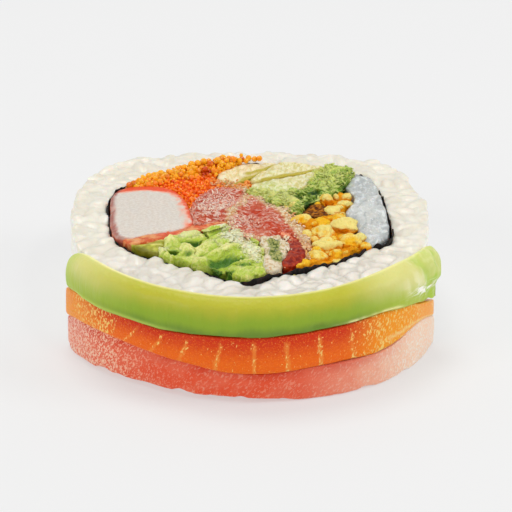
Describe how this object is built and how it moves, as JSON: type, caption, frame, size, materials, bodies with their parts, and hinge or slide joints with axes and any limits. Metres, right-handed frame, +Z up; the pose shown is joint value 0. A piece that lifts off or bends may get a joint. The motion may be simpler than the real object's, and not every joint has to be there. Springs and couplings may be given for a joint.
{
  "type": "futomaki",
  "caption": "Thick cut slice of dressed futomaki sushi roll: rice ring, nori, mixed fillings and wrapped avocado, salmon and tuna toppings.",
  "frame": {"origin": "centre of the slice's plan, on the surface it stands on", "axes": "+Z up through the slice, from cut face to cut face; -Y towards the side that the toppings cover"},
  "size_m": [0.0598, 0.0614, 0.0196],
  "materials": {
    "rice": "moist satin",
    "nori": "matt with a slight sheen",
    "crab_stick": "moist satin",
    "crab_skin": "moist satin",
    "white_fish": "wet",
    "cucumber": "wet",
    "tuna_wedge": "wet",
    "green_bean": "crumbly coat",
    "avocado_chunk": "moist satin",
    "shiitake": "wet",
    "tuna_strip": "wet, with a crumbly coat along one side",
    "lettuce": "wet leaf",
    "lettuce_dark": "wet leaf",
    "roe": "glossy beads",
    "crumbs": "matt, porous",
    "avocado": "moist satin",
    "salmon": "wet",
    "tuna": "wet"
  },
  "bodies": {
    "root": {"rice": "rice", "nori": "nori", "crab_stick": "crab_stick", "crab_skin": "crab_skin", "white_fish": "white_fish", "cucumber_back": "cucumber", "cucumber_middle": "cucumber", "cucumber_front": "cucumber", "tuna_wedge": "tuna_wedge", "green_bean": "green_bean", "avocado_chunk": "avocado_chunk", "shiitake": "shiitake", "tuna_strip": "tuna_strip", "lettuce_left": "lettuce", "lettuce_middle": "lettuce", "lettuce_front": "lettuce", "lettuce_back": "lettuce_dark", "roe": "roe", "crumbs": "crumbs", "avocado": "avocado", "salmon": "salmon", "tuna": "tuna"}
  },
  "joints": []
}
